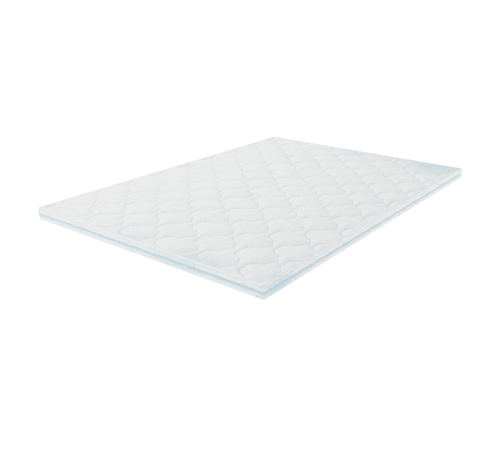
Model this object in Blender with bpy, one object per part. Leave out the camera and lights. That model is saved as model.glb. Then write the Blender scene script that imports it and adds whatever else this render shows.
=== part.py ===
"""A quilted mattress topper for a 140 x 200 cm bed, lying flat on its underside.

One filled body carries the top panel, quilted in rows of rounded cells. Two quilted strips make its
border, a contrast tape covers the seam between them, and a rolled edge finishes the top. The origin is the
middle of the underside, X runs across the bed, Y along it and Z up. Everything is in metres.
"""

import math

import bmesh
import bpy
from mathutils import Vector
from mathutils.geometry import intersect_point_line

# Outline, at the rolled edge
WIDTH = 1.400
LENGTH = 2.000
CORNER_RADIUS = 0.010

# How the filled pad lies: crowned, with its sides drawn in between the corners
SIDE_DRAW = 0.0015
CROWN = 0.0025

# Quilting of the top panel: stitch lines that run along the bed. Each is a row of round arcs that bulge
# to the left, with a pointed tip to the right between two arcs. Neighbours are half a repeat apart, so
# the cells between two lines hang together by narrow necks.
LINE_PITCH = 0.1156
REPEAT = 0.2310
QUILT_ORIGIN = Vector((0.0659, 0.0190))  # leftmost point of one arc
ARC_SAG = 0.0578
ARC_HALF = 0.0655  # half an arc's length, along the bed
ARC_STEPS = 4
TIP_REACH = 0.0905  # from an arc's leftmost point to the tips, across the bed
CELL_MIDDLE = Vector((0.1000, 0.0000))  # from an arc's leftmost point
STITCH_Z = 0.0545

# How a cell puffs up away from its stitches: height that is gained, and the distance that it takes
PUFF_RISES = (
    (0.0024, 0.0065),
    (0.0075, 0.0400),
)

# Rings of points in a cell, each with half the points of the one before: size
PUFF_RINGS = (1.00, 0.84, 0.46)

# The top panel's cut edge, in the trough beside the rolled edge
PANEL_INSET = 0.0110
PANEL_EDGE_Z = 0.0590
PANEL_FADE = 0.018  # over which the cells sink to the trough
PANEL_SNAP = 0.006  # points nearer than this to the cut are moved onto it
SAME_POINT = 0.0001  # neighbouring cells share the points of their stitch line
CUT_TOLERANCE = 1e-6
SHORTEST_EDGE = 1e-5

# Sections of the edge, 0.3 mm apart where they touch. Columns: out from the outline, up from the
# underside, and how far a stitch line draws that point in.
BODY_PROFILE = (
    (-0.0080, 0.0588, 0),
    (-0.0080, 0.0566, 0),
    (-0.0055, 0.0541, 0),
    (-0.0055, 0.0071, 0),
    (-0.0065, 0.0030, 0),
    (-0.0080, 0.0000, 0),
)
LOWER_STRIP_PROFILE = (
    (-0.0052, 0.0070, 0),
    (-0.0062, 0.0028, 0),
    (-0.0070, 0.0006, 0),
    (-0.0035, 0.0006, 0),
    (-0.0012, 0.0030, 0),
    (-0.0002, 0.0110, 0.0008),
    (-0.0008, 0.0200, 0.0004),
    (-0.0018, 0.0228, 0),
    (-0.0018, 0.0280, 0),
    (-0.0052, 0.0280, 0),
)
UPPER_STRIP_PROFILE = (
    (-0.0052, 0.0283, 0),
    (-0.0018, 0.0283, 0),
    (-0.0018, 0.0338, 0),
    (-0.0003, 0.0365, 0.0006),
    (0.0008, 0.0440, 0.0014),
    (-0.0006, 0.0520, 0.0008),
    (-0.0018, 0.0545, 0),
    (-0.0052, 0.0545, 0),
)
TAPE_PROFILE = (
    (-0.0015, 0.0232, 0),
    (0.0004, 0.0232, 0),
    (0.0012, 0.0252, 0),
    (0.0012, 0.0314, 0),
    (0.0004, 0.0334, 0),
    (-0.0015, 0.0334, 0),
)

# Rolled edge: an eight-sided roll
WELT_RADIUS = 0.0037  # to its flats
WELT_OUT = -0.0040
WELT_UP = 0.0585
WELT_SIDES = 8

# Stations round the outline. On the strips every second one is on a stitch line.
CORNER_STEPS = 4
STATION_PITCH = LINE_PITCH

SHARP_FOLD = math.radians(50)  # folds sharper than this are shaded as creases

# Colours and finish of the cloths: red, green, blue, roughness
QUILTED_CLOTH = (0.80, 0.82, 0.82, 0.85)
BORDER_CLOTH = (0.77, 0.79, 0.79, 0.85)
TAPE_CLOTH = (0.45, 0.68, 0.78, 0.60)
WELT_CLOTH = (0.82, 0.84, 0.84, 0.80)


def clear_scene():
    for item in list(bpy.data.objects):
        bpy.data.objects.remove(item, do_unlink=True)


def cloth(name, finish):
    """A plain cloth material."""
    material = bpy.data.materials.new(name)
    material.use_nodes = True
    shader = material.node_tree.nodes["Principled BSDF"]
    shader.inputs["Base Color"].default_value = (*finish[:3], 1.0)
    shader.inputs["Roughness"].default_value = finish[3]
    shader.inputs["Metallic"].default_value = 0.0
    return material


def lie(point):
    """Where a point of the straight pad goes as the filled pad lies, with its sides drawn in."""
    across = point.x / (WIDTH / 2)
    along = point.y / (LENGTH / 2)
    draw_x = SIDE_DRAW * across * max(0.0, 1 - along**4)
    draw_y = SIDE_DRAW * along * max(0.0, 1 - across**4)
    return Vector((point.x - draw_x, point.y - draw_y, point.z))


def finish_object(bm, name, finish):
    """Turn a closed bmesh into a named object with its own cloth."""
    for vertex in bm.verts:
        vertex.co = lie(vertex.co)
    bmesh.ops.triangulate(bm, faces=bm.faces)
    bmesh.ops.recalc_face_normals(bm, faces=bm.faces)
    mesh = bpy.data.meshes.new(name)
    bm.to_mesh(mesh)
    bm.free()
    mesh.shade_smooth()
    mesh.set_sharp_from_angle(angle=SHARP_FOLD)
    mesh.materials.append(cloth(name + "_cloth", finish))
    item = bpy.data.objects.new(name, mesh)
    bpy.context.scene.collection.objects.link(item)
    return item


# ---- the outline, which every ring follows


def outline(stitched=None):
    """Stations round the outline, anticlockwise from the left end of the -Y side.

    Each is its point, its outward direction, and whether a stitch line crosses the border there: at the
    odd steps of each side if stitched is 1, and at the even ones if it is 0.
    """
    half_x = WIDTH / 2 - CORNER_RADIUS
    half_y = LENGTH / 2 - CORNER_RADIUS
    corners = ((half_x, -half_y), (half_x, half_y), (-half_x, half_y), (-half_x, -half_y))
    stations = []
    for index, corner in enumerate(corners):
        start_angle = math.radians(90 * (index - 1))
        before = Vector(corners[index - 1])
        centre = Vector(corner)
        outward = Vector((math.cos(start_angle), math.sin(start_angle)))
        steps = round((centre - before).length / STATION_PITCH)
        for step in range(1, steps):
            place = before.lerp(centre, step / steps) + outward * CORNER_RADIUS
            stations.append((place, outward, step % 2 == stitched))
        for step in range(CORNER_STEPS + 1):
            angle = start_angle + math.radians(90) * step / CORNER_STEPS
            direction = Vector((math.cos(angle), math.sin(angle)))
            stations.append((centre + direction * CORNER_RADIUS, direction, False))
    return stations


def profile_loop(bm, row, stations):
    """The loop of points that one row of a profile makes round the outline."""
    out, up, pull = row
    loop = []
    for place, outward, on_stitch in stations:
        spot = place + outward * (out - pull * on_stitch)
        loop.append(bm.verts.new((spot.x, spot.y, up)))
    return loop


def join_loops(bm, first, second):
    """Quads between two loops with the same number of points."""
    for index in range(len(first)):
        after = (index + 1) % len(first)
        bm.faces.new((first[index], first[after], second[after], second[index]))


def border_ring(name, profile, finish, stitched=None):
    """A closed strip that runs all the way round the pad."""
    bm = bmesh.new()
    stations = outline(stitched)
    loops = [profile_loop(bm, row, stations) for row in profile]
    for index, loop in enumerate(loops):
        join_loops(bm, loop, loops[(index + 1) % len(loops)])
    return finish_object(bm, name, finish)


def welt_profile():
    """The rolled edge's section, with flats beside the strip and the panel."""
    corner = WELT_RADIUS / math.cos(math.pi / WELT_SIDES)
    rows = []
    for index in range(WELT_SIDES):
        angle = 2 * math.pi * (index + 0.5) / WELT_SIDES
        rows.append((WELT_OUT + corner * math.cos(angle), WELT_UP + corner * math.sin(angle), 0))
    return rows


# ---- the quilted body


def half_wave():
    """A stitch line's points from an arc's leftmost point, at the origin, up to the next tip."""
    radius = (ARC_HALF**2 + ARC_SAG**2) / (2 * ARC_SAG)
    sweep = math.asin(ARC_HALF / radius)
    points = []
    for step in range(ARC_STEPS + 1):
        angle = sweep * step / ARC_STEPS
        points.append(Vector((radius * (1 - math.cos(angle)), radius * math.sin(angle))))
    return points + [Vector((TIP_REACH, REPEAT / 2))]


def cell_outline():
    """The stitches round one cell and the middles of its two necks, clockwise from its leftmost point.

    Also the places in that list of the two necks' middles.
    """
    upper_left = half_wave()
    neck = Vector(((TIP_REACH + LINE_PITCH) / 2, REPEAT / 2))
    upper_right = [Vector((LINE_PITCH + point.x, REPEAT / 2 - point.y)) for point in half_wave()]
    upper = upper_left + [neck] + upper_right
    lower = [Vector((point.x, -point.y)) for point in upper[-2:0:-1]]
    necks = (len(upper_left), len(upper) + len(lower) - len(upper_left))
    return upper + lower, necks


def puff_height(point, outline, necks):
    """Height of a point of a cell above its stitches."""
    gaps = []
    for index, start in enumerate(outline):
        after = (index + 1) % len(outline)
        if index not in necks and after not in necks:
            share = intersect_point_line(point, start, outline[after])[1]
            nearest = start.lerp(outline[after], min(1.0, max(0.0, share)))
            gaps.append((point - nearest).length)
    return sum(rise * (1 - math.exp(-min(gaps) / reach)) for rise, reach in PUFF_RISES)


def cell_rings():
    """The points of a cell, ring by ring, from its stitches to its middle."""
    outline, necks = cell_outline()
    rings = []
    for index, size in enumerate(PUFF_RINGS):
        flat = [CELL_MIDDLE.lerp(point, size) for point in outline[:: 2**index]]
        rings.append([(*point, puff_height(point, outline, necks)) for point in flat])
    rings.append([(*CELL_MIDDLE, puff_height(CELL_MIDDLE, outline, necks))])
    return rings


def add_cell(bm, left, cell):
    """One cell of the panel, whose arc has its leftmost point at left."""
    rings = [[bm.verts.new((left.x + x, left.y + y, z)) for x, y, z in ring] for ring in cell]
    peak = rings.pop()[0]
    for outer, inner in zip(rings, rings[1:]):
        halve_ring(bm, outer, inner)
    last = rings[-1]
    for index, vertex in enumerate(last):
        bm.faces.new((vertex, last[(index + 1) % len(last)], peak))


def halve_ring(bm, outer, inner):
    """Triangles between a ring and one with half its points."""
    for index, vertex in enumerate(inner):
        after = inner[(index + 1) % len(inner)]
        corner = outer[2 * index + 1]
        bm.faces.new((outer[2 * index], corner, vertex))
        bm.faces.new((corner, after, vertex))
        bm.faces.new((corner, outer[(2 * index + 2) % len(outer)], after))


def quilted_panel(bm):
    """The panel's cells, cut to its rectangle; returns the loop of its cut edge."""
    half = Vector((WIDTH / 2 - PANEL_INSET, LENGTH / 2 - PANEL_INSET))
    cell = cell_rings()
    lines = math.ceil(half.x / LINE_PITCH) + 2
    rows = math.ceil(half.y / REPEAT) + 1
    for line in range(-lines, lines):
        for row in range(-rows, rows + 1):
            left = QUILT_ORIGIN + Vector((line * LINE_PITCH, (row + line % 2 / 2) * REPEAT))
            middle = left + CELL_MIDDLE
            if abs(middle.x) < half.x + LINE_PITCH and abs(middle.y) < half.y + REPEAT / 2:
                add_cell(bm, left, cell)
    bmesh.ops.remove_doubles(bm, verts=bm.verts, dist=SAME_POINT)

    for vertex in bm.verts:
        for axis in (0, 1):
            side = math.copysign(half[axis], vertex.co[axis])
            if abs(vertex.co[axis] - side) < PANEL_SNAP:
                vertex.co[axis] = side
    for axis in (0, 1):
        for sign in (-1, 1):
            normal = Vector((0, 0, 0))
            normal[axis] = sign
            geometry = list(bm.verts) + list(bm.edges) + list(bm.faces)
            cut_at = normal * half[axis]
            bmesh.ops.bisect_plane(
                bm, geom=geometry, dist=CUT_TOLERANCE, plane_co=cut_at, plane_no=normal, clear_outer=True
            )
    bmesh.ops.triangulate(bm, faces=bm.faces)
    bmesh.ops.dissolve_degenerate(bm, edges=bm.edges, dist=SHORTEST_EDGE)

    for vertex in bm.verts:
        vertex.co.z = panel_height(vertex.co, half)
    edge = [vertex for vertex in bm.verts if vertex.is_boundary]
    return sorted(edge, key=turn)


def panel_height(point, half):
    """Height of a panel point whose z holds its height above the stitches: crowned, and low at the cut."""
    inside = min(half.x - abs(point.x), half.y - abs(point.y))
    share = min(1.0, inside / PANEL_FADE)
    crown = CROWN * (1 - (point.x / half.x) ** 2) * (1 - (point.y / half.y) ** 2)
    return PANEL_EDGE_Z + (STITCH_Z + point.z + crown - PANEL_EDGE_Z) * share


def turn(vertex):
    """A point's angle round the pad, on a square that stands for its outline."""
    return math.atan2(vertex.co.y / LENGTH, vertex.co.x / WIDTH)


def zip_loops(bm, inner, outer):
    """Triangles between two closed loops of any count, each sorted by its angle round the pad."""
    count_in, count_out = len(inner), len(outer)
    done_in = done_out = 0
    while done_in < count_in or done_out < count_out:
        next_in = turn(inner[done_in + 1]) if done_in + 1 < count_in else math.inf
        next_out = turn(outer[done_out + 1]) if done_out + 1 < count_out else math.inf
        here_in, here_out = inner[done_in % count_in], outer[done_out % count_out]
        step_in = done_out >= count_out or (done_in < count_in and next_in <= next_out)
        if step_in:
            done_in += 1
            bm.faces.new((here_in, here_out, inner[done_in % count_in]))
        else:
            done_out += 1
            bm.faces.new((here_in, here_out, outer[done_out % count_out]))


def quilted_body():
    """The filled pad: quilted top, sides behind the border, and a flat underside."""
    bm = bmesh.new()
    edge = quilted_panel(bm)
    stations = outline()
    loops = [profile_loop(bm, row, stations) for row in BODY_PROFILE]
    zip_loops(bm, edge, sorted(loops[0], key=turn))
    for upper, lower in zip(loops, loops[1:]):
        join_loops(bm, upper, lower)
    bm.faces.new(loops[-1])
    return finish_object(bm, "quilted_body", QUILTED_CLOTH)


def build():
    clear_scene()
    quilted_body()
    border_ring("border_lower", LOWER_STRIP_PROFILE, BORDER_CLOTH, stitched=1)
    border_ring("border_upper", UPPER_STRIP_PROFILE, BORDER_CLOTH, stitched=0)
    border_ring("contrast_tape", TAPE_PROFILE, TAPE_CLOTH)
    border_ring("edge_welt", welt_profile(), WELT_CLOTH)


build()
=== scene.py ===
"""Looks of the quilted mattress topper: its cloth, border, tape, rolled edge, stitches and studio.

Everything is in metres. The origin is the middle of the underside. X runs across the bed, Y along it.
"""

import math

import bmesh
import bpy
import numpy as np
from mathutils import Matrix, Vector
from mathutils.geometry import delaunay_2d_cdt


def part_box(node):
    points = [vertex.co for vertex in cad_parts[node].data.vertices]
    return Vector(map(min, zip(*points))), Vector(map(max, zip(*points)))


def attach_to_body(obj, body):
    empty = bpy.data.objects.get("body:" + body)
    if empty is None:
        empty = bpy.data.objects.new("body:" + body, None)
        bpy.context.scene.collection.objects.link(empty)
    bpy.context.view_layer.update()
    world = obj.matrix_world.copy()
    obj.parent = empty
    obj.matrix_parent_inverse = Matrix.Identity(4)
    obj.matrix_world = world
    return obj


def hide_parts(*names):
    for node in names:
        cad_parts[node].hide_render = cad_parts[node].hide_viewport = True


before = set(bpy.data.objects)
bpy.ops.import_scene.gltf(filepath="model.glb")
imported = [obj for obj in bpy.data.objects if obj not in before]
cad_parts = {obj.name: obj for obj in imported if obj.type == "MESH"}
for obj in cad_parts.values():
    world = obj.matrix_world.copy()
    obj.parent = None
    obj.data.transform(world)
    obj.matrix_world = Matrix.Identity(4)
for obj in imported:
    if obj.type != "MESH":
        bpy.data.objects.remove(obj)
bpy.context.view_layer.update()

# ---------------------------------------------------------------- outline and quilting

# Outline, at the rolled edge
WELT_LOW, WELT_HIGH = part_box("edge_welt")
HALF_X = (WELT_HIGH[0] - WELT_LOW[0]) / 2
HALF_Y = (WELT_HIGH[1] - WELT_LOW[1]) / 2
CORNER_RADIUS = 0.010
CORNER_STEPS = 10
SIDE_DRAW = 0.0015  # how far the sides are drawn in at their middle
BODY_PITCH = 0.0075  # between the points of the body's edge
RING_PITCH = 0.0040  # between the sections of the strips, the tape and the rolled edge

# Quilting of the top panel: stitch lines that run along the bed. Each is a row of round arcs that
# bulge to the left, with a pointed tip to the right between two arcs. Neighbours are half a repeat
# apart.
LINE_PITCH = 0.1156
REPEAT = 0.2310
QUILT_ORIGIN = np.array((0.0659, 0.0190))  # leftmost point of one arc, leaving out its notch
ARC_SAG = 0.0578  # from an arc's chord to its leftmost point
ARC_HALF = 0.0630  # half an arc's length along the bed
NOTCH, NOTCH_REACH = 0.0060, 0.0130  # the dip between an arc's two lobes
TIP_REACH = 0.0905  # from an arc's leftmost point to the tips, across the bed
RUN_BOW = 0.0035  # how far the run from an arc to a tip bows
LINES_OUT = math.ceil(HALF_X / LINE_PITCH) + 2  # lines on each side of the middle, some to spare
ROWS_OUT = math.ceil(HALF_Y / REPEAT) + 1  # rows of arcs on each side of the middle

# Mesh of one cell, the cloth between two neighbouring stitch lines over one repeat
STITCH_STEP = 0.0050
SAMPLE_STEP = STITCH_STEP / 8  # between the points from which distances to the stitches are taken
ROW_OFFSETS = (0.0022, 0.0060)  # rows of points beside a stitch line
ROW_CLEAR = 0.93  # share of its offset that a row keeps from every stitch line
GRID_STEP = 0.0066  # between the points in the middle of the cell
GRID_CLEAR = 0.0098  # from those points to the stitch lines
POINT_CLEAR = 0.0021  # the least distance between any two points
SAME_POINT = 0.0001
CUT_TOLERANCE = 1e-6
INSIDE_ONLY = 1  # the triangulation's mode that keeps only what is inside the outline
TRIANGLE_TOLERANCE = 1e-7
SOFT_GAP2 = 1e-10  # keeps the soft distance finite on a stitch
ON_STITCH2 = 1e-9  # square of the distance within which a point lies on a stitch

# The cloth is fed unevenly under the needles, so the lines aren't evenly spaced.
# Columns: even X of a stitch line, how far it lies from there.
LINE_SHIFTS = (
    (-0.628, 0.0050),
    (-0.512, 0.0020),
    (-0.397, -0.0010),
    (-0.281, -0.0025),
    (-0.165, -0.0030),
    (-0.050, -0.0050),
    (0.066, -0.0095),
    (0.182, 0.0120),
    (0.297, 0.0060),
    (0.413, 0.0015),
    (0.528, -0.0025),
    (0.644, -0.0045),
)
SHIFT_BLEND, SHIFT_SAMPLES = 0.025, 7  # how far a line's shift blends into its neighbours'
SKEW, SKEW_MIDDLE = 0.0050, -0.3  # how far the lines lean for each metre of Y, from this Y
# Slow waves. Columns: size, radians for each metre of X and of Y, phase.
SWAY_WAVES = ((0.0022, 1.7, 2.9, 0.4), (0.0012, -4.1, 9.3, 1.9))
CREEP_WAVES = ((0.0020, 6.3, 0.0, 0.8), (0.0010, 17.0, 2.0, 0.0))

# ---------------------------------------------------------------- heights of the panel

STITCH_Z = 0.0543
CREASE, CREASE_REACH = 0.0019, 0.0030  # the sharp dip along a stitch line, and how wide it is
PUFF, PUFF_REACH, PUFF_POWER = 0.0084, 0.028, 1.6  # the rise to the middle of a puff
PUFF_SPREAD = 0.10  # how much the puffs differ in height
PUFF_LEAN = 0.16  # how much higher a puff may be on one side
RANDOM_SEED = 4
# How much fuller the right side is, from which X on, and over what width it becomes so
RIGHT_FULLER, RIGHT_FROM, RIGHT_BLEND = 0.28, 0.44, 0.18
# Other fuller and flatter places. Columns: X, Y, how far it reaches, change in the puffs' height.
FULL_PLACES = (
    (0.68, 0.35, 0.32, 0.35),
    (-0.50, -0.25, 0.35, -0.32),
    (0.36, -0.38, 0.24, -0.32),
    (0.15, -0.90, 0.30, -0.32),
)
LOBE, LOBE_PITCH, LOBE_WINDOW = 0.0018, 0.058, 0.060  # folds that run in from the middle of an arc
LOBE_WAVES = ((0.4, 31.0, 17.0, 0.0),)  # how these folds differ, in the columns of the slow waves
PUCKER, PUCKER_PITCH = 0.0009, 0.0178  # small puckers all along the stitches
PUCKER_DRIFT = (9, 5)  # how they shift from cell to cell, in radians for each metre of X and of Y
FOLD_START, FOLD_REACH = 0.004, 0.022  # how soon folds rise beside the stitches, and how far
CROWN = 0.0025  # how much higher the middle of the panel is
# How the filled pad lies: waves in the columns of the slow waves, a dip and a fall
PAD_WAVES = ((0.0010, 5.1, 3.3, 0.6), (0.0008, -4.2, 6.1, 2.1), (0.0006, 11.0, 4.0, 4.0))
DIP, DIP_PLACE, DIP_REACH = 0.0030, (-0.05, -0.95), (0.30, 0.16)  # at the front edge
FALL, FALL_START, FALL_LENGTH = 0.0030, 0.62, 0.34  # towards the far edge, along Y
PANEL_INSET = 0.0092  # from the outline in to the panel's edge
PANEL_EDGE_Z = 0.0604
PANEL_FADE = 0.018  # how far from its edge the panel has its full relief
PANEL_MARK = 1.0  # stands for the height of the panel's points until it is worked out
FAR_REACH = 0.040  # stands for the distance to the stitches where there are none

# ---------------------------------------------------------------- edge and thread

# Sections of the edge. Columns: out from the outline, up from the underside.
BODY_PROFILE = (
    (-0.0083, 0.0605),
    (-0.00755, 0.0603),
    (-0.0081, 0.0592),
    (-0.0080, 0.0566),
    (-0.0055, 0.0541),
    (-0.0055, 0.0071),
    (-0.0065, 0.0030),
    (-0.0080, 0.0000),
)
LOWER_STRIP = (
    (-0.0052, 0.0280),
    (-0.0018, 0.0280),
    (-0.0018, 0.0233),
    (-0.0009, 0.0229),
    (-0.0005, 0.0215),
    (-0.0001, 0.0170),
    (-0.0002, 0.0110),
    (-0.0007, 0.0055),
    (-0.0014, 0.0026),
    (-0.0024, 0.0012),
    (-0.0037, 0.0006),
    (-0.0070, 0.0006),
    (-0.0062, 0.0028),
    (-0.0052, 0.0070),
)
UPPER_STRIP = (
    (-0.0052, 0.0543),
    (-0.0010, 0.0559),
    (-0.0002, 0.0549),
    (0.0004, 0.0500),
    (0.0008, 0.0440),
    (0.0006, 0.0380),
    (0.0005, 0.0348),
    (0.0001, 0.0339),
    (-0.0018, 0.0334),
    (-0.0018, 0.0283),
    (-0.0052, 0.0283),
)
TAPE_SECTION = (
    (-0.0015, 0.0334),
    (0.0002, 0.0334),
    (0.0010, 0.0326),
    (0.0012, 0.0305),
    (0.0013, 0.0283),
    (0.0012, 0.0261),
    (0.0010, 0.0240),
    (0.0002, 0.0232),
    (-0.0015, 0.0232),
)
WELT_OUT, WELT_UP = -0.0040, 0.0585  # middle of the rolled edge
WELT_RADIUS, WELT_SIDES = 0.0038, 14
STRIP_FACE = -0.0047  # what lies further out than this is a strip's face
STRIP_ROW = 0.0022  # between the points along a strip's section, at most

# Quilting of the border strips: between which heights, where the first stitch line crosses them, how
# far apart the lines are, how they lean, and how deep they are drawn in.
STRIP_REPEAT = 0.2344
LOWER_QUILTING = {
    "low": 0.0006,
    "high": 0.0228,
    "first": 0.176,
    "pitch": STRIP_REPEAT,
    "slopes": (1.3, -1.3),
    "depth": 0.0020,
}
UPPER_QUILTING = {
    "low": 0.0338,
    "high": 0.0545,
    "first": 0.112,
    "pitch": STRIP_REPEAT / 2,
    "slopes": (0.6,),
    "depth": 0.0024,
}
STRIP_FADE = 0.6  # power with which the quilting fades towards a strip's edges
STRIP_CREASE = 0.0035  # width of a crease
STRIP_PULL, STRIP_PULL_SHARE = 0.018, 0.35  # width of the hollow round it, share of its depth
STRIP_WANDER, STRIP_WANDER_WAVE = 0.012, 7.3  # how far the lines wander, and how often
# Ripples of the strips, in the columns of the slow waves, but along a strip and up it
STRIP_WAVES = ((0.0004, 41.0, 0.0, 1.3), (0.0003, 97.0, 120.0, 0.0))
# Folds of the strips near the corners: their height, pitch, reach and lean
CORNER_FOLD, CORNER_FOLD_PITCH = 0.0007, 0.011
CORNER_FOLD_REACH, CORNER_FOLD_LEAN = 0.020, 0.25

THREAD_RADIUS = 0.00036
THREAD_RING = ((1, 0), (0, 1), (-1, 0), (0, -1))
THREAD_LIFT = 0.00020  # from the cloth to the middle of a stitch
THREAD_SINK = 0.00050  # how deep its two ends go
THREAD_SHARE = 0.86  # share of the pitch that a stitch takes
THREAD_FLAT = 0.50  # share of the pitch over which it has its full thickness
TAPE_STITCH, TAPE_FACE = 0.0036, 0.0011  # pitch of the tape's stitches, and how far out they lie
TAPE_ROWS = (0.0322, 0.0244)  # heights of the two rows that hold the tape
WELT_STITCH = 0.0040  # pitch of the stitches beside the rolled edge
WELT_ROW_IN = 0.0089  # from the outline in to the row that holds the panel's edge
UP = (0.0, 0.0, 1.0)

# ---------------------------------------------------------------- cloth and studio

# Noise. Columns: size of its lumps, detail, roughness.
PILE_NOISE = (0.0042, 4.0, 0.65)
TUFT_NOISE = (0.015, 2.0, 0.5)
SHADE_NOISE = (0.13, 3.0, 0.6)
CREASE_NOISE = (0.22, 2.0, 0.6)
TAPE_NOISE = (0.02, 3.0, 0.6)
# Ramps of noise. Columns: its lower and upper bound, the result at each.
SHADE_RAMP = (0.40, 0.64, 0.0, 1.0)
CREASE_RAMP = (0.40, 0.60, 0.25, 1.0)
TAPE_RAMP = (0.2, 0.8, 0.0, 1.0)

# Fine surfaces: pitches of the ribs, and heights of the bumps
WAVE_PITCH = math.tau / 20  # pitch of the wave texture at a scale of 1
KNIT_WALE, KNIT_COURSE, KNIT_UNEVEN, KNIT_DEPTH = 0.0017, 0.0013, 0.4, 0.00018
PILE_DEPTH, TUFT_DEPTH = 0.00075, 0.00130
TWILL_PITCH, TWILL_DEPTH = 0.0011, 0.00016
WEFT_PITCH, WEFT_DEPTH = 0.0007, 0.00008
TAPE_UNEVEN_DEPTH = 0.0003
TWIST_PITCH, TWIST_DEPTH = 0.0006, 0.00008

SPECULAR, SHEEN_ROUGHNESS = 0.25, 0.5
# Finishes. Columns: roughness, sheen.
CLOTH_FINISH = (0.92, 0.15)
TAPE_FINISH = (0.62, 0.3)
THREAD_FINISH = (0.55, 0.1)
# Colours. Columns: the lightest, the greyest.
PANEL_COLOURS = ((0.835, 0.845, 0.845), (0.80, 0.815, 0.818))
# The border strips' colours: the panel's cloth painted darker, as painted shade on the sides
BORDER_COLOURS = ((0.765, 0.775, 0.775), (0.735, 0.748, 0.75))
# The rolled edge's colours: the same cloth painted lighter, as a painted highlight along the edge
WELT_COLOURS = ((0.87, 0.876, 0.876), (0.84, 0.85, 0.85))
TAPE_COLOURS = ((0.55, 0.71, 0.795), (0.49, 0.665, 0.755))
WHITE_THREAD = ((0.83, 0.84, 0.84), (0.74, 0.76, 0.77))
BLUE_THREAD = ((0.56, 0.71, 0.79), (0.48, 0.64, 0.73))
# Painted shade down in a crease: its colour, its strength, and the distances over which it fades
CREASE_SHADE_COLOUR = (0.62, 0.66, 0.67)
CREASE_SHADE, CREASE_SHADE_FROM, CREASE_SHADE_TO = 0.43, 0.0004, 0.0056
# Places with painted cool shade, where the cloth is painted darker and bluer. Columns: middle,
# radius, strength.
COOL_SHADE_COLOUR = (0.56, 0.69, 0.735)
PANEL_SHADE_PLACES = (
    ((0.58, 1.04, 0.06), 0.42, 0.75),
    ((0.05, 1.10, 0.06), 0.40, 0.45),
    ((-0.06, -1.07, 0.06), 0.21, 0.80),
    ((0.34, -1.07, 0.06), 0.21, 0.92),
    ((-0.72, -1.02, 0.06), 0.16, 0.35),
)
PANEL_RISE = 8  # how many times heights count there, so that the painted shade doesn't reach the underside
# Painted cool shade on the border, near the front corner and along the front side
BORDER_SHADE_PLACES = (
    ((0.735, -0.90, 0.03), 0.14, 1.0),
    ((0.30, -1.05, 0.05), 0.30, 0.30),
)

# View curve. Columns: light that reaches the camera, tone shown.
VIEW_CURVE = (
    (0.00, 0.000),
    (0.40, 0.400),
    (0.70, 0.700),
    (0.80, 0.796),
    (0.85, 0.828),
    (0.90, 0.837),
    (1.08, 0.842),
    (1.20, 0.885),
    (1.40, 0.940),
    (1.60, 1.000),
)
# Lights. Columns: name, place, what it points at, width and height, watts, colour.
LIGHTS = (
    ("key", (-5.0, -0.8, 4.4), (-0.2, -0.2, 0), (1.6, 1.6), 198, (1.0, 0.995, 0.985)),
    ("fill_left", (-2.2, -2.6, 0.8), (-0.6, -1.0, 0.03), (0.8, 0.5), 5, (1, 1, 1)),
    ("fill_right", (3.2, 1.0, 0.7), (0.7, 0.3, 0.03), (0.8, 0.4), 9, (1, 1, 1)),
)
WORLD_COLOUR, WORLD_LIGHT = (0.985, 0.995, 1.0, 1), 0.720
FLOOR_SIZE, FLOOR_Z, BACKDROP_RADIUS = 240, -0.0005, 80
# Finishes of the floor and the backdrop. Columns: how white, roughness, glow.
FLOOR_FINISH = (0.9, 1.0, 0.52)
BACKDROP_FINISH = (0.0, 0.5, 1.8)
CAMERA_PLACE = (1.88415, -2.60106, 1.06187)
CAMERA_DOWN, CAMERA_LEFT = 20.969, 37.983  # degrees below the horizon, and to the left of +Y
LENS, SENSOR_WIDTH = 44.034, 36  # in millimetres


# ---------------------------------------------------------------- small helpers


def smooth(value):
    """Smoothstep of values clipped to 0..1."""
    value = np.clip(value, 0.0, 1.0)
    return value * value * (3 - 2 * value)


def waves(x, y, table):
    """Sum of slow waves at some places."""
    return sum(size * np.sin(by_x * x + by_y * y + phase) for size, by_x, by_y, phase in table)


def lie(points):
    """Draw the sides in between the corners, as the filled pad lies."""
    across = points[:, 0] / HALF_X
    along = points[:, 1] / HALF_Y
    moved = points.copy()
    moved[:, 0] -= SIDE_DRAW * across * np.maximum(0, 1 - along**4)
    moved[:, 1] -= SIDE_DRAW * along * np.maximum(0, 1 - across**4)
    return moved


def link_piece(name, mesh, material):
    """An object with a mesh and a material, in the scene."""
    mesh.materials.append(material)
    piece = bpy.data.objects.new(name, mesh)
    bpy.context.scene.collection.objects.link(piece)
    return piece


def make_piece(name, points, faces, material, uvs=None):
    """A mesh piece from arrays, shaded smooth; uvs has one row for each point."""
    mesh = bpy.data.meshes.new(name)
    mesh.from_pydata(points.tolist(), [], faces)
    mesh.shade_smooth()
    if uvs is not None:
        layer = mesh.uv_layers.new(name="cloth")
        corners = np.empty(len(mesh.loops), dtype=np.int32)
        mesh.loops.foreach_get("vertex_index", corners)
        layer.data.foreach_set("uv", uvs[corners].astype(np.float32).ravel())
    return link_piece(name, mesh, material)


def attach(piece, node):
    """Ride a piece on the pad; node is the solid that it stands for, if any."""
    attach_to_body(piece, "root")
    if node:
        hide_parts(node)


# ---------------------------------------------------------------- stitch lines and cells


def half_wave(step):
    """A stitch line from an arc's middle, beside the origin, up to the tip above it."""
    radius = (ARC_HALF**2 + ARC_SAG**2) / (2 * ARC_SAG)
    sweep = math.asin(ARC_HALF / radius)
    angles = np.linspace(0, sweep, round(radius * sweep / step) + 1)
    arc = np.stack([radius * (1 - np.cos(angles)), radius * np.sin(angles)], 1)
    arc[:, 0] += NOTCH * np.exp(-((arc[:, 1] / NOTCH_REACH) ** 2))
    tip = np.array((TIP_REACH, REPEAT / 2))
    share = np.linspace(0, 1, round(np.linalg.norm(tip - arc[-1]) / step) + 1)[1:, None]
    run = arc[-1] + (tip - arc[-1]) * share
    run[:, :1] -= RUN_BOW * 4 * share * (1 - share)
    return np.concatenate([arc, run])


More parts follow.
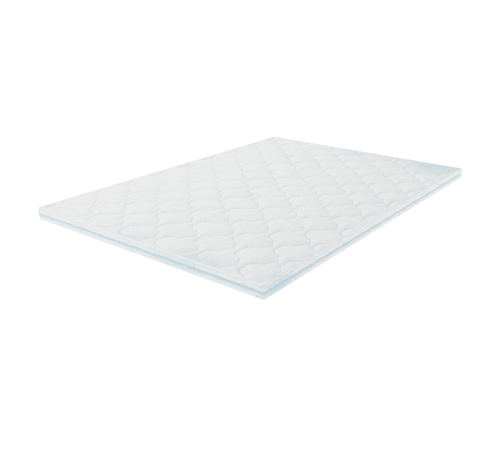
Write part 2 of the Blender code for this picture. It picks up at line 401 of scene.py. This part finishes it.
def wave(step, first, repeats):
    """A stitch line upwards over whole repeats, from the tip below its arc number first."""
    half = half_wave(step)
    lower = half[::-1] * (1, -1)
    whole = np.concatenate([lower, half[1:]])
    lines = [whole[index > 0 :] + (0, (first + index) * REPEAT) for index in range(repeats)]
    return np.concatenate(lines)


def line_place(line, row):
    """Where an arc's middle lies on the even plan."""
    return QUILT_ORIGIN + (line * LINE_PITCH, (row + line % 2 / 2) * REPEAT)


def fed(plan):
    """Plan points of the even quilting, moved to where they lie on the cloth."""
    places, shifts = np.array(LINE_SHIFTS).T
    blend = np.linspace(-SHIFT_BLEND, SHIFT_BLEND, SHIFT_SAMPLES)
    x, y = plan[:, 0], plan[:, 1]
    shift = np.mean([np.interp(x + offset, places, shifts) for offset in blend], axis=0)
    skew = SKEW * (y - SKEW_MIDDLE)
    return np.stack([x + shift + waves(x, y, SWAY_WAVES) - skew, y + waves(x, y, CREEP_WAVES)], 1)


def cell_outline():
    """A cell's outline, clockwise from the tip below its left arc; its two necks are cut straight."""
    left = wave(STITCH_STEP, 0, 1)
    half = half_wave(STITCH_STEP) + (LINE_PITCH, 0)
    falling = half * (1, -1) + (0, REPEAT / 2)
    rising = half[::-1][1:] - (0, REPEAT / 2)
    width = LINE_PITCH - TIP_REACH
    marks = [*ROW_OFFSETS, width / 2, *(width - offset for offset in reversed(ROW_OFFSETS))]
    top = [(TIP_REACH + mark, REPEAT / 2) for mark in marks]
    bottom = [(TIP_REACH + mark, -REPEAT / 2) for mark in reversed(marks)]
    return np.concatenate([left, top, falling, rising, bottom])


def line_samples():
    """Fine points of the two stitch lines beside a cell, far past its necks.

    The second value is each point's distance along its line from the middle of its arc.
    """
    left = wave(SAMPLE_STEP, -1, 3)
    right = wave(SAMPLE_STEP, -2, 4) + (LINE_PITCH, REPEAT / 2)
    along = []
    for line, repeats in ((left, 3), (right, 4)):
        walked = np.concatenate([[0], np.cumsum(np.linalg.norm(np.diff(line, axis=0), axis=1))])
        length = walked[-1] / repeats
        along.append(walked % length - length / 2)
    return np.concatenate([left, right]), np.concatenate(along)


def inside_outline(points, outline):
    """Whether each point is inside a closed outline."""
    x, y = points[:, :1], points[:, 1:]
    ax, ay = outline[:, 0], outline[:, 1]
    bx, by = np.roll(ax, -1), np.roll(ay, -1)
    crosses = (ay > y) != (by > y)
    cross_x = ax + (y - ay) * (bx - ax) / np.where(by == ay, 1, by - ay)
    return (crosses & (x < cross_x)).sum(1) % 2 == 1


def cell_points(outline, samples):
    """The outline's points, then rows beside its stitches and an even grid between them."""
    ahead = np.roll(outline, -1, axis=0) - np.roll(outline, 1, axis=0)
    inward = np.stack([ahead[:, 1], -ahead[:, 0]], 1) / np.linalg.norm(ahead, axis=1)[:, None]
    candidates = [outline + inward * offset for offset in ROW_OFFSETS]
    clear = [np.full(len(outline), ROW_CLEAR * offset) for offset in ROW_OFFSETS]
    low, high = outline.min(0), outline.max(0)
    grid = [
        (x + GRID_STEP / 2 * (index % 2), y)
        for index, y in enumerate(np.arange(low[1], high[1], GRID_STEP * math.sqrt(0.75)))
        for x in np.arange(low[0], high[0], GRID_STEP)
    ]
    candidates = np.concatenate([*candidates, np.array(grid)])
    clear = np.concatenate([*clear, np.full(len(grid), GRID_CLEAR)])
    far = np.sqrt(((candidates[:, None] - samples[None]) ** 2).sum(-1).min(1))
    neck = REPEAT / 2 - np.abs(candidates[:, 1])
    keep = (far >= clear) & (neck > POINT_CLEAR) & inside_outline(candidates, outline)
    kept = list(outline)
    for point in candidates[keep]:
        if min(math.hypot(*(point - other)) for other in kept) > POINT_CLEAR:
            kept.append(point)
    return kept


def cell_mesh():
    """Points, triangles, soft distance from the stitches and distance along them, for one cell.

    The soft distance sums up the stitches all round. Beside one long straight line it is the plain
    distance, and it changes smoothly halfway between two lines.
    """
    outline = cell_outline()
    samples, along = line_samples()
    coords = [Vector(point) for point in cell_points(outline, samples)]
    border = [list(range(len(outline)))]
    made, _, faces, _, _, _ = delaunay_2d_cdt(coords, [], border, INSIDE_ONLY, TRIANGLE_TOLERANCE)
    points = np.array([point[:] for point in made])
    gap2 = ((points[:, None] - samples[None]) ** 2).sum(-1)
    reach = (SAMPLE_STEP * ((gap2 + SOFT_GAP2) ** -1.5).sum(-1) / 2) ** -0.5
    reach[gap2.min(1) < ON_STITCH2] = 0
    return points, np.array(faces), reach, along[gap2.argmin(1)]


# ---------------------------------------------------------------- the quilted panel


def undulation(x, y):
    """Slow waves in how the filled pad lies, a dip at the front and a fall to the far edge."""
    dip_x = (x - DIP_PLACE[0]) / DIP_REACH[0]
    dip_y = (y - DIP_PLACE[1]) / DIP_REACH[1]
    dip = DIP * np.exp(-(dip_x**2) - dip_y**2)
    fall = FALL * smooth((y - FALL_START) / FALL_LENGTH)
    return waves(x, y, PAD_WAVES) - dip - fall


def panel_z(x, y, puff):
    """Height of the panel at a plan point, for its height above the stitch lines."""
    half_x, half_y = HALF_X - PANEL_INSET, HALF_Y - PANEL_INSET
    inside = np.minimum(half_x - np.abs(x), half_y - np.abs(y))
    crown = CROWN * (1 - (x / half_x) ** 2) * (1 - (y / half_y) ** 2)
    height = STITCH_Z + puff + crown + undulation(x, y)
    return PANEL_EDGE_Z + (height - PANEL_EDGE_Z) * smooth(inside / PANEL_FADE)


def fullness(x, y):
    """How full the pad is at a place, as a share of the usual."""
    share = 1 + RIGHT_FULLER * smooth((x - RIGHT_FROM) / RIGHT_BLEND)
    for place_x, place_y, reach, change in FULL_PLACES:
        gap2 = (x - place_x) ** 2 + (y - place_y) ** 2
        share = share + change * np.exp(-gap2 / reach**2)
    return share


def puff_height(x, y, reach, along, fill):
    """Height of the quilting above its stitch lines."""
    crease = CREASE * (1 - np.exp(-reach / CREASE_REACH))
    puff = PUFF * fill * fullness(x, y) * (1 - np.exp(-((reach / PUFF_REACH) ** PUFF_POWER)))
    near = np.exp(-reach / FOLD_REACH) * (1 - np.exp(-reach / FOLD_START))
    window = np.exp(-((along / LOBE_WINDOW) ** 2))
    lobes = -LOBE * (1 + waves(x, y, LOBE_WAVES)) * np.cos(math.tau * along / LOBE_PITCH) * window
    drift = PUCKER_DRIFT[0] * x + PUCKER_DRIFT[1] * y
    puckers = PUCKER * np.sin(math.tau * along / PUCKER_PITCH + drift)
    return crease + puff + (lobes + puckers) * near


def reaches_panel(corner):
    """Whether the cell whose arc's middle lies there is anywhere on the panel."""
    beside = abs(corner[0] + TIP_REACH) > HALF_X + LINE_PITCH
    beyond = abs(corner[1]) > HALF_Y + REPEAT / 2
    return not (beside or beyond)


def quilted_mesh():
    """The panel's cells side by side, flat, with values that say how each point lies in its cell."""
    points, faces, reach, along = cell_mesh()
    middle = points.mean(0)
    lean_over = (points - middle) / (np.abs(points - middle).max(0))
    draw = np.random.default_rng(RANDOM_SEED)
    plan, triangles, fill = [], [], []
    for line in range(-LINES_OUT, LINES_OUT):
        for row in range(-ROWS_OUT, ROWS_OUT + 1):
            corner = line_place(line, row)
            if not reaches_panel(corner):
                continue
            triangles.append(faces + len(plan) * len(points))
            plan.append(points + corner)
            height, lean_x, lean_y = draw.uniform(-1, 1, 3)
            lean = lean_over @ (lean_x, lean_y) / 2
            fill.append(1 + PUFF_SPREAD * height + PUFF_LEAN * lean)
    flat = np.pad(fed(np.concatenate(plan)), ((0, 0), (0, 1)))
    mesh = bpy.data.meshes.new("quilted_top")
    mesh.from_pydata(flat.tolist(), [], np.concatenate(triangles).tolist())
    values = {
        "reach": np.tile(reach, len(plan)),
        "along": np.tile(along, len(plan)),
        "fill": np.concatenate(fill),
    }
    for name, numbers in values.items():
        layer = mesh.attributes.new(name, "FLOAT", "POINT")
        layer.data.foreach_set("value", numbers.astype(np.float32))
    return mesh


def read_values(mesh, name):
    """A float attribute of a mesh's points."""
    values = np.empty(len(mesh.vertices), dtype=np.float32)
    mesh.attributes[name].data.foreach_get("value", values)
    return values.astype(float)


def turn(point):
    """Angle of a point round the pad, as if the pad were square."""
    return math.atan2(point[1] / HALF_Y, point[0] / HALF_X)


def zip_loops(bm, inner, outer):
    """Triangles between two closed loops of any count, each sorted by its angle round the pad."""
    count_in, count_out = len(inner), len(outer)
    done_in = done_out = 0
    while done_in < count_in or done_out < count_out:
        next_in = turn(inner[done_in + 1].co) if done_in + 1 < count_in else math.inf
        next_out = turn(outer[done_out + 1].co) if done_out + 1 < count_out else math.inf
        here_in, here_out = inner[done_in % count_in], outer[done_out % count_out]
        if done_out >= count_out or (done_in < count_in and next_in <= next_out):
            done_in += 1
            bm.faces.new((here_in, here_out, inner[done_in % count_in]))
        else:
            done_out += 1
            bm.faces.new((here_in, here_out, outer[done_out % count_out]))


def stations(pitch):
    """Places round the outline: plan points, outward directions, distances walked, whole length."""
    half_x, half_y = HALF_X - CORNER_RADIUS, HALF_Y - CORNER_RADIUS
    corners = ((half_x, -half_y), (half_x, half_y), (-half_x, half_y), (-half_x, -half_y))
    places, outwards = [], []
    for index, corner in enumerate(corners):
        start = math.radians(90 * (index - 1))
        before, centre = np.array(corners[index - 1]), np.array(corner)
        outward = np.array((math.cos(start), math.sin(start)))
        steps = round(np.linalg.norm(centre - before) / pitch)
        for step in range(1, steps):
            places.append(before + (centre - before) * step / steps + outward * CORNER_RADIUS)
            outwards.append(outward)
        for step in range(CORNER_STEPS + 1):
            angle = start + math.radians(90) * step / CORNER_STEPS
            direction = np.array((math.cos(angle), math.sin(angle)))
            places.append(centre + direction * CORNER_RADIUS)
            outwards.append(direction)
    places, outwards = np.array(places), np.array(outwards)
    lengths = np.linalg.norm(np.roll(places, -1, axis=0) - places, axis=1)
    walked = np.concatenate([[0], np.cumsum(lengths)[:-1]])
    return places, outwards, walked, lengths.sum()


def trim_panel(bm):
    """Cut the sewn cells off at the panel's four edges."""
    half = (HALF_X - PANEL_INSET, HALF_Y - PANEL_INSET)
    for axis in (0, 1):
        for sign in (-1, 1):
            normal = Vector((0, 0, 0))
            normal[axis] = sign
            bmesh.ops.bisect_plane(
                bm,
                geom=list(bm.verts) + list(bm.edges) + list(bm.faces),
                dist=CUT_TOLERANCE,
                plane_co=normal * half[axis],
                plane_no=normal,
                clear_outer=True,
            )


def close_body(bm):
    """Carry the trimmed panel down its drawn-in sides to the flat underside."""
    edge = sorted((v for v in bm.verts if v.is_boundary), key=lambda v: turn(v.co))
    places, outwards, _, _ = stations(BODY_PITCH)
    reach = bm.verts.layers.float["reach"]
    loops = []
    for out, up in BODY_PROFILE:
        loop = [bm.verts.new((x, y, up)) for x, y in (places + outwards * out).tolist()]
        for vertex in loop:
            vertex[reach] = FAR_REACH
        loops.append(loop)
    zip_loops(bm, edge, sorted(loops[0], key=lambda v: turn(v.co)))
    for upper, lower in zip(loops, loops[1:]):
        for index in range(len(upper)):
            after = (index + 1) % len(upper)
            bm.faces.new((upper[index], lower[index], lower[after], upper[after]))
    underside = bm.faces.new(loops[-1])
    bmesh.ops.recalc_face_normals(bm, faces=bm.faces)
    for face in bm.faces:
        face.smooth = True
    for side in underside.edges:
        side.smooth = False


def quilted_body(material):
    """The filled pad: quilted top, drawn-in sides behind the border, and a flat underside."""
    mesh = quilted_mesh()
    bm = bmesh.new()
    bm.from_mesh(mesh)
    bmesh.ops.remove_doubles(bm, verts=bm.verts, dist=SAME_POINT)
    trim_panel(bm)
    for vertex in bm.verts:
        vertex.co.z = PANEL_MARK
    close_body(bm)
    bm.to_mesh(mesh)
    bm.free()
    points = np.empty(len(mesh.vertices) * 3)
    mesh.vertices.foreach_get("co", points)
    points = points.reshape(-1, 3)
    panel = points[:, 2] > PANEL_MARK / 2
    x, y = points[panel, 0], points[panel, 1]
    reach, along, fill = (read_values(mesh, name)[panel] for name in ("reach", "along", "fill"))
    points[panel, 2] = panel_z(x, y, puff_height(x, y, reach, along, fill))
    mesh.vertices.foreach_set("co", lie(points).ravel())
    mesh.update()
    return link_piece("quilted_top", mesh, material)


# ---------------------------------------------------------------- rings round the pad


def ring_piece(name, section, material, move=None):
    """A closed strip round the pad, and its length; move says how far each point stands out."""
    places, outwards, walked, total = stations(RING_PITCH)
    section = np.array(section)
    steps = np.linalg.norm(np.roll(section, -1, axis=0) - section, axis=1)
    across = np.concatenate([[0], np.cumsum(steps)[:-1]])
    count, rows = len(places), len(section)
    out = np.repeat(section[None, :, 0], count, axis=0)
    up = np.repeat(section[None, :, 1], count, axis=0)
    if move is not None:
        corner_gap = np.hypot(HALF_X - np.abs(places[:, 0]), HALF_Y - np.abs(places[:, 1]))
        out = out + move(walked[:, None], corner_gap[:, None], up, out)
    plan = places[:, None, :] + outwards[:, None, :] * out[:, :, None]
    points = np.concatenate([plan, up[:, :, None]], axis=2).reshape(-1, 3)
    uvs = np.stack(np.broadcast_arrays(walked[:, None], across[None, :]), -1).reshape(-1, 2)
    faces = []
    for station in range(count):
        here, there = station * rows, (station + 1) % count * rows
        for row in range(rows):
            after = (row + 1) % rows
            faces.append((here + row, here + after, there + after, there + row))
    return make_piece(name, lie(points), faces, material, uvs), total


def fine_section(profile):
    """A closed section with points added along its longer sides."""
    corners = np.array(profile)
    rows = []
    for corner, after in zip(corners, np.roll(corners, -1, axis=0)):
        count = max(1, math.ceil(np.linalg.norm(after - corner) / STRIP_ROW))
        rows += [corner + (after - corner) * step / count for step in range(count)]
    return rows


def strip_quilting(low, high, first, pitch, slopes, depth):
    """How a strip's face is drawn in along its stitch lines, and folded at the corners."""

    def move(walked, corner_gap, up, out):
        """How far points move out, from where they lie along, near a corner, up and out."""
        tall = np.clip((up - low) / (high - low), 0, 1)
        face = (out > STRIP_FACE) * np.sin(tall * math.pi) ** STRIP_FADE
        wander = STRIP_WANDER * np.sin(walked * STRIP_WANDER_WAVE)
        pull = 0
        for slope in slopes:
            line = (walked - first - slope * (up - (low + high) / 2) + wander) / pitch
            gap = np.abs(line - np.round(line)) * pitch
            hollow = STRIP_PULL_SHARE * np.exp(-gap / STRIP_PULL)
            pull = pull - depth * (np.exp(-((gap / STRIP_CREASE) ** 2)) + hollow)
        fold_turn = math.tau * (corner_gap + CORNER_FOLD_LEAN * up) / CORNER_FOLD_PITCH
        folds = CORNER_FOLD * np.cos(fold_turn) * np.exp(-corner_gap / CORNER_FOLD_REACH)
        return (pull + waves(walked, up, STRIP_WAVES) + folds) * face

    return move


def round_section(out, up, radius, sides):
    """A round section, in the direction in which the strips' sections run."""
    angles = math.tau * (np.arange(sides, 0, -1) - 0.5) / sides
    return np.stack([out + radius * np.cos(angles), up + radius * np.sin(angles)], 1)


# ---------------------------------------------------------------- stitches


def stitch_piece(name, starts, ends, normals, material):
    """Short threads that lie on the cloth and go into it at both ends."""
    along = ends - starts
    length = np.linalg.norm(along, axis=1)[:, None]
    along = along / length
    side = np.cross(normals, along)
    side = side / np.linalg.norm(side, axis=1)[:, None]
    rise = np.cross(along, side)
    middle = (starts + ends) / 2 + rise * THREAD_LIFT
    rows = [middle - along * length * THREAD_SHARE / 2 - rise * THREAD_SINK]
    for end in (-1, 1):
        centre = middle + end * along * length * THREAD_FLAT / 2
        for across, high in THREAD_RING:
            rows.append(centre + THREAD_RADIUS * (side * across + rise * high))
    rows.append(middle + along * length * THREAD_SHARE / 2 - rise * THREAD_SINK)
    points = np.stack(rows, 1)
    count, size = points.shape[:2]
    sides = len(THREAD_RING)
    faces = []
    for tail in range(0, count * size, size):
        near = tail + 1
        far = near + sides
        tip = far + sides
        for here in range(sides):
            there = (here + 1) % sides
            faces.append((tail, near + there, near + here))
            faces.append((near + here, near + there, far + there, far + here))
            faces.append((tip, far + here, far + there))
    return make_piece(name, points.reshape(-1, 3), faces, material)


def quilting_threads(material):
    """Stitches in the creases between the puffs."""
    limit = np.array((HALF_X, HALF_Y)) - PANEL_INSET - STITCH_STEP / 2
    starts, ends = [], []
    for line in range(-LINES_OUT, LINES_OUT):
        plan = fed(wave(STITCH_STEP, -ROWS_OUT, 2 * ROWS_OUT + 1) + line_place(line, 0))
        height = panel_z(plan[:, 0], plan[:, 1], 0)
        inside = (np.abs(plan) < limit).all(1)
        both = inside[:-1] & inside[1:]
        points = lie(np.column_stack([plan, height]))
        starts.append(points[:-1][both])
        ends.append(points[1:][both])
    starts, ends = np.concatenate(starts), np.concatenate(ends)
    normals = np.tile(UP, (len(starts), 1))
    return stitch_piece("quilting_stitches", starts, ends, normals, material)


def read_round(at, marks, values):
    """Plan values at distances round the pad, from those at its stations."""
    closed = np.concatenate([values, values[:1]])
    return np.stack([np.interp(at, marks, closed[:, axis]) for axis in (0, 1)], 1)


def round_row(pitch, out, up):
    """Starts, ends and outward directions of the stitches in one row round the pad."""
    places, outwards, walked, total = stations(RING_PITCH)
    count = round(total / pitch)
    at = np.arange(count) * total / count
    marks = np.append(walked, total)
    outward = read_round(at, marks, outwards)
    plan = read_round(at, marks, places) + outward * out
    points = lie(np.column_stack([plan, np.full(count, up)]))
    return points, np.roll(points, -1, axis=0), np.column_stack([outward, np.zeros(count)])


def row_threads(name, rows, material, upward=False):
    """Rows of stitches round the pad; a row is its pitch, how far out it lies and its height."""
    made = [round_row(*row) for row in rows]
    starts, ends, normals = (np.concatenate(values) for values in zip(*made))
    if upward:
        normals = np.tile(UP, (len(starts), 1))
    return stitch_piece(name, starts, ends, normals, material)


# ---------------------------------------------------------------- materials


def is_socket(value):
    """Whether a value is a node's output, rather than a number or a colour."""
    return isinstance(value, bpy.types.NodeSocket)


def add_node(tree, kind, inputs=(), **settings):
    """A shader node; inputs holds pairs of a socket's name or number and its value or link."""
    item = tree.nodes.new("ShaderNode" + kind)
    for name, value in settings.items():
        setattr(item, name, value)
    for key, value in inputs:
        if is_socket(value):
            tree.links.new(value, item.inputs[key])
        else:
            item.inputs[key].default_value = value
    return item


def maths(tree, operation, first, second):
    """One step of arithmetic on two values."""
    return add_node(tree, "Math", ((0, first), (1, second)), operation=operation).outputs[0]


def mean(tree, first, second):
    """The mean of two values."""
    halves = [maths(tree, "MULTIPLY", value, 0.5) for value in (first, second)]
    return maths(tree, "ADD", *halves)


def blend_colours(tree, share, first, second):
    """A blend from one colour to another; each is a link, or its red, green and blue."""
    first, second = (colour if is_socket(colour) else (*colour, 1) for colour in (first, second))
    mix = add_node(tree, "Mix", ((0, share), (6, first), (7, second)), data_type="RGBA")
    return mix.outputs[2]


def ramp(tree, value, low, high, at_low, at_high):
    """A smooth step of a value between two bounds."""
    inputs = (("Value", value), (1, low), (2, high), (3, at_low), (4, at_high))
    return add_node(tree, "MapRange", inputs, interpolation_type="SMOOTHSTEP").outputs[0]


def noise(tree, place, size, detail, roughness):
    """Even noise whose lumps are about size wide."""
    inputs = (("Vector", place), ("Scale", 1 / size), ("Detail", detail), ("Roughness", roughness))
    return add_node(tree, "TexNoise", inputs).outputs[0]


def ribs(tree, place, pitch, direction, distortion=0.0):
    """Even ribs across a direction."""
    inputs = (("Vector", place), ("Scale", WAVE_PITCH / pitch), ("Distortion", distortion))
    return add_node(tree, "TexWave", inputs, bands_direction=direction).outputs["Fac"]


def start_material(name, finish):
    """A material with its roughness and sheen, its node tree and its shader."""
    material = bpy.data.materials.new(name)
    material.use_nodes = True
    tree = material.node_tree
    shader = tree.nodes["Principled BSDF"]
    shader.inputs["Roughness"].default_value, shader.inputs["Sheen Weight"].default_value = finish
    shader.inputs["Specular IOR Level"].default_value = SPECULAR
    shader.inputs["Sheen Roughness"].default_value = SHEEN_ROUGHNESS
    return material, tree, shader


def add_bump(tree, shader, parts):
    """Bump from pairs of a texture and its height in metres."""
    height = maths(tree, "MULTIPLY", *parts[0])
    for texture, depth in parts[1:]:
        height = maths(tree, "ADD", height, maths(tree, "MULTIPLY", texture, depth))
    bump = add_node(tree, "Bump", (("Strength", 1.0), ("Distance", 1.0), ("Height", height)))
    tree.links.new(bump.outputs["Normal"], shader.inputs["Normal"])


def object_place(tree):
    """Places in the object's own frame, in metres."""
    return add_node(tree, "TexCoord").outputs["Object"]


def strip_place(tree):
    """Places along and across a strip, in metres."""
    return add_node(tree, "UVMap", uv_map="cloth").outputs["UV"]


def knit_material(name, colours, find_place):
    """White knitted quilting cloth with a short uneven pile, greyer here and there."""
    material, tree, shader = start_material(name, CLOTH_FINISH)
    place = find_place(tree)
    wales = ribs(tree, place, KNIT_WALE, "X")
    courses = ribs(tree, place, KNIT_COURSE, "Y", KNIT_UNEVEN)
    loops = maths(tree, "MULTIPLY", wales, courses)
    pile = noise(tree, place, *PILE_NOISE)
    tufts = noise(tree, place, *TUFT_NOISE)
    add_bump(tree, shader, ((loops, KNIT_DEPTH), (pile, PILE_DEPTH), (tufts, TUFT_DEPTH)))
    light = ramp(tree, mean(tree, pile, noise(tree, place, *SHADE_NOISE)), *SHADE_RAMP)
    return material, tree, shader, blend_colours(tree, light, colours[1], colours[0])


def paint_cool_shade(tree, cloth, places, rise):
    """Painted cool shade: the cloth darker and bluer round some places, where heights count rise
    times.
    """
    stretch = (1, 1, rise)
    inputs = ((0, object_place(tree)), (1, stretch))
    position = add_node(tree, "VectorMath", inputs, operation="MULTIPLY").outputs[0]
    for middle, radius, strength in places:
        inputs = ((0, position), (1, np.multiply(middle, stretch)))
        gap = add_node(tree, "VectorMath", inputs, operation="DISTANCE").outputs["Value"]
        share = ramp(tree, gap, 0.0, radius, strength, 0.0)
        cloth = blend_colours(tree, share, cloth, COOL_SHADE_COLOUR)
    return cloth


def quilted_material():
    """The panel's cloth, with painted shade down in the creases and painted cool shade at a few
    places near its edges.
    """
    material, tree, shader, cloth = knit_material("quilted_knit", PANEL_COLOURS, object_place)
    reach = add_node(tree, "Attribute", attribute_name="reach").outputs["Fac"]
    # Painted shade down in the creases, stronger in some places than in others
    uneven = ramp(tree, noise(tree, object_place(tree), *CREASE_NOISE), *CREASE_RAMP)
    shade = ramp(tree, reach, CREASE_SHADE_FROM, CREASE_SHADE_TO, CREASE_SHADE, 0.0)
    cloth = blend_colours(tree, maths(tree, "MULTIPLY", shade, uneven), cloth, CREASE_SHADE_COLOUR)
    cloth = paint_cool_shade(tree, cloth, PANEL_SHADE_PLACES, PANEL_RISE)
    tree.links.new(cloth, shader.inputs["Base Color"])
    return material


def border_material(name, colours, shade_places=()):
    """The same cloth on a strip or on the rolled edge, with painted cool shade round the given
    places.
    """
    material, tree, shader, cloth = knit_material(name, colours, strip_place)
    tree.links.new(paint_cool_shade(tree, cloth, shade_places, 1), shader.inputs["Base Color"])
    return material


def tape_material():
    """Light blue woven tape: a fine twill with a slight sheen, and slightly uneven."""
    material, tree, shader = start_material("tape_weave", TAPE_FINISH)
    place = strip_place(tree)
    twill = ribs(tree, place, TWILL_PITCH, "DIAGONAL")
    weft = ribs(tree, place, WEFT_PITCH, "Y")
    uneven = noise(tree, place, *TAPE_NOISE)
    add_bump(tree, shader, ((twill, TWILL_DEPTH), (weft, WEFT_DEPTH), (uneven, TAPE_UNEVEN_DEPTH)))
    light = ramp(tree, mean(tree, twill, uneven), *TAPE_RAMP)
    woven = blend_colours(tree, light, TAPE_COLOURS[1], TAPE_COLOURS[0])
    tree.links.new(woven, shader.inputs["Base Color"])
    return material


def thread_material(name, colours):
    """Twisted thread."""
    material, tree, shader = start_material(name, THREAD_FINISH)
    twist = ribs(tree, object_place(tree), TWIST_PITCH, "DIAGONAL")
    add_bump(tree, shader, ((twist, TWIST_DEPTH),))
    tree.links.new(blend_colours(tree, twist, colours[1], colours[0]), shader.inputs["Base Color"])
    return material


# ---------------------------------------------------------------- studio


def add_stage(name, white, roughness, glow):
    """Name the mesh that was just made and give it a glowing material."""
    item = bpy.context.object
    item.name = name
    material = bpy.data.materials.new(name)
    material.use_nodes = True
    shader = material.node_tree.nodes["Principled BSDF"]
    shader.inputs["Base Color"].default_value = (white, white, white, 1)
    shader.inputs["Roughness"].default_value = roughness
    shader.inputs["Emission Color"].default_value = (1, 1, 1, 1)
    shader.inputs["Emission Strength"].default_value = glow
    item.data.materials.append(material)
    return item


def add_floor():
    """The pale floor, which lights the sides from below. The camera doesn't see it."""
    bpy.ops.mesh.primitive_plane_add(size=FLOOR_SIZE, location=(0, 0, FLOOR_Z))
    add_stage("floor", *FLOOR_FINISH).visible_camera = False


def add_backdrop():
    """A plain white surround that only the camera sees."""
    bpy.ops.mesh.primitive_uv_sphere_add(segments=48, ring_count=24, radius=BACKDROP_RADIUS)
    backdrop = add_stage("backdrop", *BACKDROP_FINISH)
    backdrop.visible_diffuse = False
    backdrop.visible_glossy = False
    backdrop.visible_transmission = False
    backdrop.visible_volume_scatter = False
    backdrop.visible_shadow = False


def add_light(name, place, target, size, watts, colour):
    """A rectangular light that points at a target."""
    light = bpy.data.lights.new(name, "AREA")
    light.shape = "RECTANGLE"
    light.size, light.size_y = size
    light.energy = watts
    light.color = colour
    lamp = bpy.data.objects.new(name, light)
    lamp.location = place
    lamp.rotation_euler = (Vector(target) - Vector(place)).to_track_quat("-Z", "Y").to_euler()
    bpy.context.scene.collection.objects.link(lamp)


def add_camera():
    """The camera at the photograph's viewing angle."""
    camera = bpy.data.cameras.new("camera")
    camera.sensor_fit = "HORIZONTAL"
    camera.sensor_width = SENSOR_WIDTH
    camera.lens = LENS
    item = bpy.data.objects.new("camera", camera)
    item.location = CAMERA_PLACE
    item.rotation_euler = (math.radians(90 - CAMERA_DOWN), 0, math.radians(CAMERA_LEFT))
    bpy.context.scene.collection.objects.link(item)
    bpy.context.scene.camera = item


def add_world():
    """Even light from all round."""
    world = bpy.data.worlds.new("studio")
    bpy.context.scene.world = world
    world.use_nodes = True
    shader = world.node_tree.nodes["Background"]
    shader.inputs["Color"].default_value = WORLD_COLOUR
    shader.inputs["Strength"].default_value = WORLD_LIGHT


def add_view():
    """White cloth keeps nearly one tone over a wide range of light, and then goes on to white."""
    view = bpy.context.scene.view_settings
    view.view_transform = "Standard"
    view.use_curve_mapping = True
    mapping = view.curve_mapping
    brightest = VIEW_CURVE[-1][0]
    mapping.white_level = (brightest,) * 3
    points = mapping.curves[3].points
    for light, tone in VIEW_CURVE[1:-1]:
        points.new(light / brightest, tone)
    mapping.update()


def add_studio():
    """Everything round the topper."""
    add_view()
    add_camera()
    add_world()
    add_floor()
    add_backdrop()
    for light in LIGHTS:
        add_light(*light)


# ---------------------------------------------------------------- the topper


def add_pad():
    """The quilted pad with its stitches."""
    top = quilted_body(quilted_material())
    attach(top, "quilted_body")
    thread = thread_material("white_thread", WHITE_THREAD)
    attach(quilting_threads(thread), None)
    seam = ((WELT_STITCH, -WELT_ROW_IN, PANEL_EDGE_Z),)
    attach(row_threads("edge_stitches", seam, thread, upward=True), None)


def add_strip(name, node, profile, quilting, material):
    """One strip of the border."""
    strip, total = ring_piece(name, fine_section(profile), material, strip_quilting(**quilting))
    attach(strip, node)


def add_border():
    """The two strips of the border, below and above the tape."""
    cloth = border_material("border_knit", BORDER_COLOURS, BORDER_SHADE_PLACES)
    add_strip("lower_strip", "border_lower", LOWER_STRIP, LOWER_QUILTING, cloth)
    add_strip("upper_strip", "border_upper", UPPER_STRIP, UPPER_QUILTING, cloth)


def add_tape():
    """The tape over the seam between the strips, and the two rows of stitches that hold it."""
    tape, total = ring_piece("blue_tape", TAPE_SECTION, tape_material())
    attach(tape, "contrast_tape")
    rows = [(TAPE_STITCH, TAPE_FACE, up) for up in TAPE_ROWS]
    thread = thread_material("blue_thread", BLUE_THREAD)
    attach(row_threads("tape_stitches", rows, thread), None)


def add_welt():
    """The rolled edge round the panel."""
    section = round_section(WELT_OUT, WELT_UP, WELT_RADIUS, WELT_SIDES)
    welt, _ = ring_piece("rolled_edge", section, border_material("welt_knit", WELT_COLOURS))
    attach(welt, "edge_welt")


add_studio()
add_pad()
add_border()
add_tape()
add_welt()
